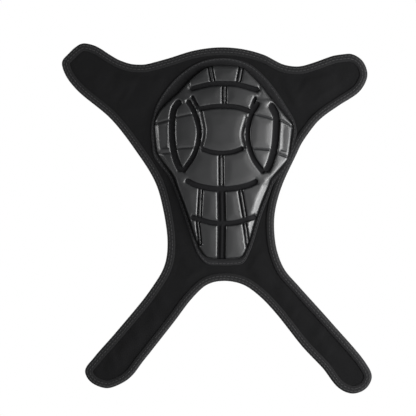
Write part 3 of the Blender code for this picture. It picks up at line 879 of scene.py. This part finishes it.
# Grooves between the raised plates: a kind, a width, and the points of the groove's middle
GROOVES = {
    "brow": ("wide", 3.4, [(-25.9, 133.3), (-10.5, 137), (0, 137.6), (10.3, 137), (27.8, 132.3)]),
    "brow_end_left": ("line", 1.4, [(-27.2, 140), (-26.6, 133.4)]),
    "brow_end_right": ("line", 1.4, [(29.2, 138), (28.6, 132.4)]),
    "forehead": ("wide", 3.1, [(-18.8, 117.6), (-9.5, 119.2), (0.5, 119.8), (11.3, 118.9), (21.1, 115.9)]),
    "brow_left": ("ribbed", 4.8, [(-10.4, 150.9), (-8.0, 138)]),
    "brow_right": ("ribbed", 4.8, [(14.2, 150.4), (11.7, 137.6)]),
    "forehead_middle": ("ribbed", 4.6, [(0.8, 135.9), (0.8, 120.7)]),
    "post_left": ("wide", 2.2, [(-24.6, 128), (-19.8, 118.4)]),
    "post_right": ("wide", 2.2, [(25.4, 127), (21.9, 118.2)]),
    "crown_left": ("shallow", 2.2, [(-17.2, 114.8), (-14.8, 100), (-17.2, 87)]),
    "crown_right": ("shallow", 2.0, [(18.0, 110.5), (14.9, 98), (16.8, 88)]),
    "crown_foot": ("wide", 2.8, [(-16.9, 86.3), (-9.5, 83.9), (-1, 83), (7.3, 83.9), (15.4, 86.7)]),
    "left_lens_out": ("wide", 4.4, [
        (-34, 124.2), (-38.6, 117.7), (-40.3, 100), (-37.9, 80.2), (-33.2, 68.8)]),
    "left_lens_in": ("wide", 3.3, [
        (-28.2, 124.6), (-23.1, 115.7), (-18.9, 100), (-22.3, 83.2), (-31.7, 68.3)]),
    "left_lens_upper": ("line", 1.6, [(-38.9, 110.8), (-22.3, 114.2)]),
    "left_lens_lower": ("line", 1.6, [(-38.3, 86.4), (-20.8, 87.6)]),
    "right_lens_in": ("wide", 3.1, [(27.5, 122.5), (21.6, 111.8), (19.2, 96), (23.6, 79.2), (31.5, 67.9)]),
    "right_lens_out": ("wide", 4.8, [
        (37.2, 121.5), (41.4, 112.8), (41.6, 100), (40.4, 88), (37.3, 76.2), (33.9, 68.6)]),
    "right_lens_upper": ("line", 1.6, [(23.1, 114.2), (41.9, 109.2)]),
    "right_lens_lower": ("line", 1.6, [(21.3, 86.9), (41, 85.3)]),
    "left_side_upper": ("line", 1.8, [(-54.5, 105.8), (-41.1, 109.8)]),
    "left_side_lower": ("line", 1.8, [(-53.5, 82.6), (-40.1, 83.2)]),
    "right_side_upper": ("line", 1.8, [(43.9, 109.8), (55.2, 103.9)]),
    "right_side_lower": ("line", 1.8, [(41.9, 83.2), (52.5, 79.2)]),
    "cheek_middle": ("ribbed", 4.8, [(-1.8, 81.2), (-1.6, 56.5)]),
    "mouth": ("wide", 3.6, [(-29.3, 61.8), (-21.3, 57.9), (-1.6, 54.7), (19.2, 57.7), (26.8, 61.1)]),
    "jaw_middle": ("channel", 6.2, [(-1.6, 54), (-1.2, 28), (-1.6, 0.5)]),
    "jaw_left": ("ribbed", 4.4, [(-17.6, 55), (-19, 31.8)]),
    "jaw_right": ("ribbed", 4.6, [(13.2, 55), (17.2, 31.5)]),
    "jaw_across": ("wide", 3.3, [(-25.3, 32.9), (-9.5, 28.5), (-1.1, 27.9), (9.3, 28.4), (25.4, 33.1)]),
    "chin_left": ("ribbed", 4.0, [(-20.1, 29), (-18.2, 12)]),
    "chin_right": ("ribbed", 4.2, [(16.7, 28), (19.6, 10.1)]),
}
# Raised frames on the plates of the side columns
FRAMES = [[(-51, 104.9), (-42.9, 106.9), (-42.6, 86.2), (-50.6, 85.6)],
          [(45.6, 107.6), (52.6, 103.6), (52.4, 82.4), (44.2, 84.8)]]
# Smooth areas with no plates, between the brow's ends and the lenses
SHOULDERS = [[(-37.5, 127), (-33.5, 132.5), (-26.8, 140.6), (-26.5, 131), (-23.8, 125.2), (-28, 126.5),
              (-33, 126)],
             [(39.5, 125), (34.5, 130.8), (28.9, 138.2), (28.2, 130), (24.6, 124.5), (28, 124.6),
              (34, 124.8)]]
DEEP = 2.2                    # from the dome down to the floor of a wide groove
PLATE_EDGE = 0.28             # how far a plate is rounded down before its wall
RIB_DROP = 0.55               # from the plates down to the rib in a ribbed groove
SHOULDER_DROP = 0.45          # from the plates down to the smooth areas
SHELL_WALL = 0.9              # the least thickness of the moulding
BEVEL_SLOPE = 0.75            # fall over run of the shield's bevelled edge
EDGE_RISE = COVER_TOP + 0.9   # the shield's height at its edge
FLANGE_TOP = COVER_Z - 0.25


def shield_area(corners):
    """The outline of an area of the shield's pattern, in even steps."""
    return clockwise(even(np.array([on_shield(p) for p in corners]), 1.0))


def groove_line(kind, width, points):
    """The middle of a groove. A round-ended one stops short of its last points by the roundness."""
    line = along_curve([on_shield(p) for p in points], 0.5, closed=False)
    short = int(round((width / 2 - 0.3) / 0.5)) if kind == "wide" else 0
    return even(line[short:len(line) - short], 1.0, closed=False)


def ring_round(line, gap):
    """Points all round a line at a distance from it."""
    way = np.gradient(line, axis=0)
    way /= np.hypot(*way.T)[:, None]
    side = np.column_stack([-way[:, 1], way[:, 0]]) * gap
    ends = []
    for end, on in ((0, -1), (-1, 1)):
        diagonal = line[end] + on * way[end] * gap * 0.87
        ends += [diagonal + side[end] * 0.5, line[end] + on * way[end] * gap, diagonal - side[end] * 0.5]
    return np.vstack([line + side, line - side, ends])


def groove_rows(kind, width):
    """How far from a groove's middle its section turns."""
    if kind in ("wide", "shallow"):
        return [width / 2 + d for d in (-0.15, 0.2, 0.55, 1.0, 1.7)]
    if kind == "channel":
        return [0.01, 0.7, 1.3] + [width / 2 + d for d in (-0.15, 0.2, 0.55, 1.0)]
    if kind == "ribbed":
        return [0.01] + [width / 2 + d for d in (-1.5, -1.15, -0.75, -0.3, 0.15, 0.8)]
    return [0.01, 0.45, 0.9, 1.5]


def groove_drop(kind, width, away):
    """How far the surface drops at a distance from a groove's middle."""
    lip = away - width / 2
    if kind in ("wide", "shallow", "channel"):
        full = (DEEP if kind != "shallow" else 0.5 * DEEP) - PLATE_EDGE
        rib = 0.9 * (1 - ramp(away, 0.6, 1.4)) if kind == "channel" else 0
        return full * (1 - ramp(lip, -0.15, 0.5)) + PLATE_EDGE * (1 - ramp(lip, 0.35, 1.2)) - rib
    if kind == "ribbed":
        channel = 1 - ramp(abs(lip + 0.85), 0.3, 0.75)
        return 1.3 * channel + RIB_DROP * (1 - ramp(lip, -0.8, 0.1)) + 0.15 * (1 - ramp(lip, 0, 0.8))
    return 0.75 * (1 - ramp(away, 0.2, 0.85)) + 0.2 * (1 - ramp(away, 0.7, 1.5))


lines = {name: groove_line(*groove) for name, groove in GROOVES.items()}
rows = [ring_round(lines[name], gap) for name, (kind, width, _) in GROOVES.items()
        for gap in groove_rows(kind, width)]
for depth in (0.2, 0.6, 1.1, 1.6, 2.3, 3.1, 3.8):
    rows.append(grown(SHELL_EDGE, -depth))
for corners in FRAMES:
    rows += [grown(shield_area(corners), width) for width in (0, 0.6, -0.6)]
shield_edge = grown(SHELL_EDGE, FLANGE_WIDTH)
points = np.vstack(rows + [grid(SHELL_EDGE, 1.7)])
points = thinned(points, 0.42, np.vstack([shield_edge, SHELL_EDGE]))
points = np.vstack([SHELL_EDGE, points])
shield_plan, shield_faces = filled([shield_edge], points)

drop, lip = np.zeros(len(shield_plan)), np.full(len(shield_plan), 99.0)
for name, (kind, width, _) in GROOVES.items():
    away = distance(shield_plan, lines[name], closed=False)[0]
    drop = np.maximum(drop, groove_drop(kind, width, away))
    lip = np.minimum(lip, abs(away - width / 2))
depth = depth_in(shield_plan, SHELL_EDGE)
bare = sum(ramp(depth_in(shield_plan, shield_area(corners)), -1.2, 1.2) for corners in SHOULDERS)
crowned = dome(shield_plan) + 0.30 * ramp(np.minimum(lip, depth), 0.8, 6) - 0.1 - SHOULDER_DROP * bare
for corners in FRAMES:
    outline = shield_area(corners)
    within = depth_in(shield_plan, outline)
    plate = dome(outline.mean(0)[None])[0]
    flat = plate + 0.35 * (crowned - plate) - 0.3
    crowned += (flat - crowned) * ramp(within, 0.2, 1.1) + 0.3 * np.exp(-(within / 0.5) ** 2)

across, up = ((shield_plan - (MIDDLE_X, SHIELD_FOOT)) / PATTERN_SCALE).T
side_row, jaw_row = ramp(up, 64, 80) * (1 - ramp(up, 105, 109)), ramp(up, 8, 16) * (1 - ramp(up, 56, 66))
bevel = 1.4 + 1.8 * side_row * (across < 0) + 3.2 * jaw_row * (across > 0)
facet = BEVEL_SLOPE * bevel * np.clip(1 - depth / bevel, 0, 1) ** 1.2
height = EDGE_RISE + (np.maximum(crowned - facet, EDGE_RISE) - EDGE_RISE) * ramp(depth, -0.1, 0.3) - drop
height = np.where(depth < 0.02, FLANGE_TOP, np.maximum(height, FLANGE_TOP + 0.6))
under = np.minimum(height - SHELL_WALL, dome(shield_plan) - DEEP - SHELL_WALL)
under = np.maximum(np.where(depth < 1.2, FLANGE_TOP - 0.8, under), FLANGE_TOP - 0.8)
spots, faces = slab(shield_plan, shield_faces, height, under)
plain = np.zeros(len(drop))
# the groove depth sets the grooves' painted shade, and the rim number sets the plates' painted highlight
layers = {"depth": np.concatenate([np.clip(drop / DEEP, 0, 1), plain]),
          "edge_highlight": np.concatenate([np.exp(-((np.minimum(lip, depth) - 0.5) / 0.5) ** 2), plain])}
shield = placed("shield", mesh_of("shield", spots, faces, layers), SHELL, 70)
bent(shield, AREAS[0])
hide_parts("shield_upper", "shield_lower")

pad_edge = even(grown(SHELL_EDGE, -3.0), 3.0)
pad_plan, pad_faces = filled([pad_edge], grid(SHELL_EDGE, 5.0))
pad_top = np.maximum(dome(pad_plan) - DEEP - 2.2, LINING_TOP + 0.8)
spots, faces = slab(pad_plan, pad_faces, pad_top, np.full(len(pad_plan), LINING_TOP + 0.2))
shield_pad = placed("shield_foam", mesh_of("shield_foam", spots, faces), SHIELD_FOAM)
bent(shield_pad, AREAS[0])
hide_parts("shield_foam_upper", "shield_foam_lower")


# ---- Hook patches on the backs of the left-hand ends ----
HOOK_PITCH = 1.7
HOOK_SIDES = 6
HOOK_SECTION = ((0.42, 0.22), (0.16, 0.18), (0.12, 0.42), (0.0, 0.3))     # height and radius


def tube_faces(base, rings, sides):
    """The faces of a closed tube whose rings of points follow on from a base number."""
    faces = [(base + i * sides + k, base + i * sides + (k + 1) % sides,
              base + (i + 1) * sides + (k + 1) % sides, base + (i + 1) * sides + k)
             for i in range(rings - 1) for k in range(sides)]
    last = base + (rings - 1) * sides
    return faces + [tuple(base + k for k in range(sides))[::-1], tuple(last + k for k in range(sides))]


def hooks(outline):
    """Little mushroom hooks over a patch, as points and faces."""
    spots, faces = [], []
    low, high = outline.min(0), outline.max(0)
    seats = np.array([(x, y) for x in np.arange(low[0], high[0], HOOK_PITCH)
                      for y in np.arange(low[1], high[1], HOOK_PITCH)])
    turns = [k * math.tau / HOOK_SIDES for k in range(HOOK_SIDES)]
    for x, y in seats[depth_in(seats, outline) > 1.0]:
        faces += tube_faces(len(spots), len(HOOK_SECTION), HOOK_SIDES)
        for z, wide in HOOK_SECTION:
            spots += [(x + wide * math.cos(turn), y + wide * math.sin(turn), z) for turn in turns]
    return spots, faces


for node, outline in PATCHES.items():
    patch_plan, patch_faces = filled([outline], grid(outline, 3.0))
    patch_top, patch_foot = [np.full(len(patch_plan), z) for z in (PATCH_TOP + 0.2, 0.4)]
    spots, faces = slab(patch_plan, patch_faces, patch_top, patch_foot)
    more, ends = hooks(outline)
    faces = list(faces) + [tuple(int(i) + len(spots) for i in f) for f in ends]
    mesh = mesh_of(node + "_tape", np.vstack([spots, more]), faces)
    made = placed(node + "_tape", mesh, HOOK)
    bent(made, AREAS[2 if node.startswith("upper") else 6])
    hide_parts(node)


# ---- Stitches ----
STITCH, SPACE, THREAD_RADIUS = 2.3, 0.7, 0.2


def stitched(loop, height, count=7, sides=6):
    """A row of stitches along a loop: their points and faces, and each point's stitch's middle."""
    length = length_along(np.vstack([loop, loop[:1]]))
    ends = np.vstack([loop, loop[:1]])
    spots, faces, middles = [], [], []
    for start in np.arange(0, length[-1] - STITCH, STITCH + SPACE):
        at = start + STITCH * (0.5 - 0.5 * np.cos(np.linspace(0, math.pi, count)))
        path = np.column_stack([np.interp(at, length, ends[:, k]) for k in (0, 1)])
        way = path[-1] - path[0]
        way /= max(np.hypot(*way), 1e-6)
        across = np.array([-way[1], way[0]])
        faces += tube_faces(len(spots), count, sides)
        for place, share in zip(path, np.linspace(0, 1, count)):
            radius = THREAD_RADIUS * math.sqrt(max(1 - (2 * share - 1) ** 6, 0.02))
            rise = height - 0.45 * abs(2 * share - 1) ** 4
            for k in range(sides):
                turn = k * math.tau / sides
                spots.append((*(place + across * radius * math.cos(turn)), rise + radius * math.sin(turn)))
        middles += [path.mean(0)] * (count * sides)
    return np.array(spots), faces, np.array(middles)


def stitch_pieces(name, rows):
    """The stitches of some rows, gathered into a piece for each area."""
    spots, faces, middles = np.zeros((0, 3)), [], np.zeros((0, 2))
    for loop, height in rows:
        more, ends, places = stitched(loop, height)
        faces += [tuple(i + len(spots) for i in f) for f in ends]
        spots, middles = np.vstack([spots, more]), np.vstack([middles, places])
    number = area_of(middles)
    for k, area in enumerate(AREAS):
        here = np.flatnonzero(number == k)
        if len(here):
            order = {old: new for new, old in enumerate(here)}
            kept = [tuple(order[i] for i in f) for f in faces if f[0] in order]
            mesh = mesh_of(name, spots[here], kept)
            bent(placed(f"{area[0]}_{name}", mesh, THREAD), area)


OUTER_ROW = 1.9               # the second row of stitches, in from the edge
stitch_pieces("stitching", [(inset(SLEEVE, SEAM_AT), 5.92), (inset(SLEEVE, OUTER_ROW), 5.9),
                            (grown(FACING_EDGE, -1.5), FACING_TOP + 0.05)])


# ---- Light and camera ----
VIEW_WIDE, CAMERA_HIGH = 328.6, 1600.0
VIEW_MIDDLE = (-7.1, 8.35)
ROOM_LIGHT, ROOM_LEAST = 0.38, 0.06     # the room's light in its middle and in its darkest corner
ROOM_RIGHT, ROOM_BELOW = 0.6, 0.6       # how much brighter it is to the right and towards the straps


def studio():
    """A room brighter to the right and towards the straps, and white below and to the camera."""
    made = bpy.data.worlds.new("studio")
    made.use_nodes = True
    tree = made.node_tree
    way = tree.nodes.new("ShaderNodeTexCoord")
    parts = tree.nodes.new("ShaderNodeSeparateXYZ")
    tree.links.new(way.outputs["Generated"], parts.inputs[0])
    x, y, z = [Number(tree, out) for out in parts.outputs]
    room = ROOM_LIGHT + ROOM_RIGHT * x - ROOM_BELOW * y
    room = room.maths("MAXIMUM", room, ROOM_LEAST)
    table = (z * -8).clear()
    seen = Number(tree, tree.nodes.new("ShaderNodeLightPath").outputs["Is Camera Ray"])
    white = table + seen - table * seen
    strength = room * (1 - white) + white
    tree.links.new(strength.socket, tree.nodes["Background"].inputs["Strength"])
    tree.nodes["Background"].inputs["Color"].default_value = (1, 1, 1, 1)
    bpy.context.scene.world = made


studio()


def softbox(name, place, size, power):
    """An area light that faces the guard's middle."""
    light = bpy.data.lights.new(name, "AREA")
    light.shape, light.size, light.size_y, light.energy = "RECTANGLE", size[0], size[1], power
    made = bpy.data.objects.new(name, light)
    made.location = place
    made.rotation_euler = (Vector((0, 0.02, 0)) - Vector(place)).to_track_quat("-Z", "Y").to_euler()
    bpy.context.scene.collection.objects.link(made)


softbox("key", (0.42, 0.0, 0.36), (0.34, 0.5), 6)
softbox("left_strip", (-0.9, 0.1, 0.26), (0.2, 0.8), 6)
softbox("right_strip", (0.8, -0.3, 0.28), (0.25, 0.8), 8)

lens = bpy.data.cameras.new("camera")
lens.sensor_width = 36.0
lens.lens = lens.sensor_width * CAMERA_HIGH / VIEW_WIDE
camera = bpy.data.objects.new("camera", lens)
camera.location = (VIEW_MIDDLE[0] * MM, VIEW_MIDDLE[1] * MM, CAMERA_HIGH * MM)
bpy.context.scene.collection.objects.link(camera)
bpy.context.scene.camera = camera
bpy.context.scene.view_settings.view_transform = "Standard"
